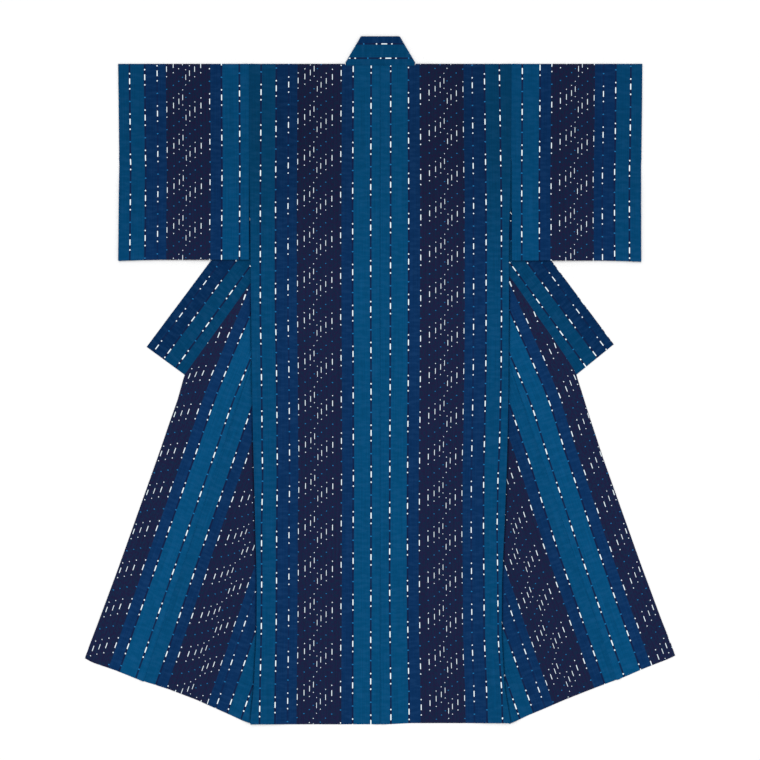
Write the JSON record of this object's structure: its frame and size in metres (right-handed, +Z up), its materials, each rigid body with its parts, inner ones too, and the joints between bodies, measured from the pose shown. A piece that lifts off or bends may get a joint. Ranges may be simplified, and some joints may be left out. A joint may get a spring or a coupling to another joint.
{
  "type": "kimono",
  "caption": "Indigo cotton kimono with woven ikat stripes, laid flat with its back up, sleeves spread and both fronts fanned out beside the hem.",
  "frame": {"origin": "middle of the laid garment's outline, on the surface that it lies on", "axes": "+Z up out of the surface; -Y towards the back hem, +Y towards the collar; +X towards the sleeve on the right of the picture"},
  "size_m": [1.4638, 1.7044, 0.0036],
  "materials": {
    "body_cloth": "matte",
    "okumi_cloth": "matte",
    "sleeve_cloth": "matte",
    "collar_cloth": "matte"
  },
  "bodies": {
    "root": {"body_left": "body_cloth", "body_right": "body_cloth", "okumi_left": "okumi_cloth", "okumi_right": "okumi_cloth", "sleeve_left": "sleeve_cloth", "sleeve_right": "sleeve_cloth", "collar": "collar_cloth"}
  },
  "joints": []
}
